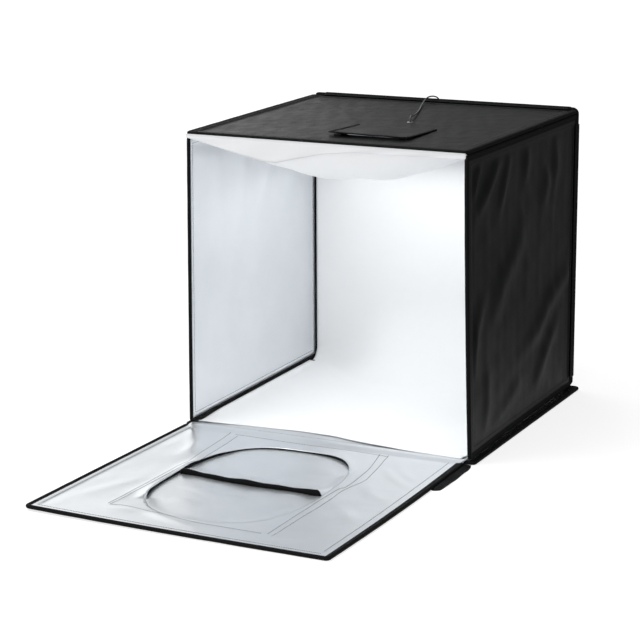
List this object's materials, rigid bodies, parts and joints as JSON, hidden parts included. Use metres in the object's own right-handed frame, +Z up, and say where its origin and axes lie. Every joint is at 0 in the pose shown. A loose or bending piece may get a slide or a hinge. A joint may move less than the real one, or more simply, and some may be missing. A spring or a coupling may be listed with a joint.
{
  "type": "light tent cube",
  "caption": "Square folding photo light tent with a fold-down front panel, a windowed top over a sagging diffuser, a curved white backdrop and a light bar at each side.",
  "frame": {"origin": "centre of the flat ground cloth under the base, on the surface that the tent stands on", "axes": "+Z up, +X to the right seen from the open front, +Y towards the back panel; the open front panel lies along -Y"},
  "size_m": [0.6439, 1.2717, 0.611],
  "materials": {
    "black_cloth": "matte woven, slightly coated",
    "black_binding": "matte ribbed tape",
    "silver_cloth": "metallised, satin",
    "white_cloth": "soft, translucent",
    "white_sheet": "smooth matte",
    "hook_tape": "fuzzy loop",
    "rod_plastic": "glass-fibre rod",
    "board_plastic": "matte sheet",
    "light_metal": "anodised",
    "light_board": "white board",
    "eyelet_metal": "nickel plated",
    "black_cord": "satin",
    "black_plastic": "moulded"
  },
  "bodies": {
    "base": {"base_edge_binding": "black_binding", "base_frame_rod": "rod_plastic", "base_ground_cloth": "black_cloth", "base_board": "board_plastic", "base_lining": "silver_cloth", "door_hinge_strip": "silver_cloth", "cord_plug": "black_plastic", "cord_plug_barrel": "eyelet_metal"},
    "door": {"door_edge_binding": "black_binding", "door_frame_rod": "rod_plastic", "door_shell": "black_cloth", "door_lining": "silver_cloth", "door_window_left_tape": "hook_tape", "door_window_right_tape": "hook_tape", "door_loose_hem": "black_cloth"},
    "door_lower_flap": {"door_lower_flap": "black_cloth", "door_lower_flap_binding": "black_binding"},
    "door_upper_flap": {"door_upper_flap": "black_cloth", "door_upper_flap_binding": "black_binding"},
    "back": {"back_edge_binding": "black_binding", "back_frame_rod": "rod_plastic", "back_shell": "black_cloth", "back_lining": "silver_cloth", "backdrop": "white_sheet", "backdrop_tape": "hook_tape", "back_hinge_strip": "black_binding", "top_hinge_strip": "black_binding", "left_side_hinge_strip": "black_binding", "right_side_hinge_strip": "black_binding", "power_cord": "black_cord"},
    "left_side": {"left_side_edge_binding": "black_binding", "left_side_frame_rod": "rod_plastic", "left_side_shell": "black_cloth", "left_side_lining": "silver_cloth"},
    "right_side": {"right_side_edge_binding": "black_binding", "right_side_frame_rod": "rod_plastic", "right_side_shell": "black_cloth", "right_side_lining": "silver_cloth"},
    "top": {"top_edge_binding": "black_binding", "top_frame_rod": "rod_plastic", "top_shell": "black_cloth", "top_lining": "silver_cloth", "top_window_left_tape": "hook_tape", "top_window_right_tape": "hook_tape", "cord_eyelet": "eyelet_metal", "diffuser": "white_cloth", "light_left_channel": "light_metal", "light_left_board": "light_board", "light_right_channel": "light_metal", "light_right_board": "light_board", "light_link_wire": "black_cord", "power_cord_top": "black_cord"},
    "top_flap": {"top_flap": "black_cloth", "top_flap_binding": "black_binding"}
  },
  "joints": [
    {"name": "door_hinge", "type": "hinge", "parent": "base", "child": "door", "pos_m": [0, -0.30015, 0.0083], "axis": [-1, 0, 0], "range_deg": [0, 90], "deforming": ["door_hinge_strip"]},
    {"name": "door_lower_flap_hinge", "type": "hinge", "parent": "door", "child": "door_lower_flap", "pos_m": [0, -0.3333, 0.002], "axis": [1, 0, 0], "range_deg": [0, 95]},
    {"name": "door_upper_flap_hinge", "type": "hinge", "parent": "door", "child": "door_upper_flap", "pos_m": [0, -0.8163, 0.002], "axis": [-1, 0, 0], "range_deg": [0, 150]},
    {"name": "back_hinge", "type": "hinge", "parent": "base", "child": "back", "pos_m": [0, 0.30015, 0.00815], "axis": [-1, 0, 0], "range_deg": [0, 90], "deforming": ["back_hinge_strip", "backdrop", "power_cord"]},
    {"name": "left_side_hinge", "type": "hinge", "parent": "back", "child": "left_side", "pos_m": [-0.30015, 0.29185, 0.3], "axis": [0, 0, -1], "range_deg": [0, 90], "deforming": ["left_side_hinge_strip"]},
    {"name": "right_side_hinge", "type": "hinge", "parent": "back", "child": "right_side", "pos_m": [0.30015, 0.29185, 0.3], "axis": [0, 0, 1], "range_deg": [0, 90], "deforming": ["right_side_hinge_strip"]},
    {"name": "top_hinge", "type": "hinge", "parent": "back", "child": "top", "pos_m": [0, 0.29185, 0.6003], "axis": [-1, 0, 0], "range_deg": [0, 90], "deforming": ["top_hinge_strip", "power_cord_top"]},
    {"name": "top_flap_hinge", "type": "hinge", "parent": "top", "child": "top_flap", "pos_m": [0.0545, -0.072, 0.598], "axis": [-1, 0, 0], "range_deg": [0, 150]}
  ]
}
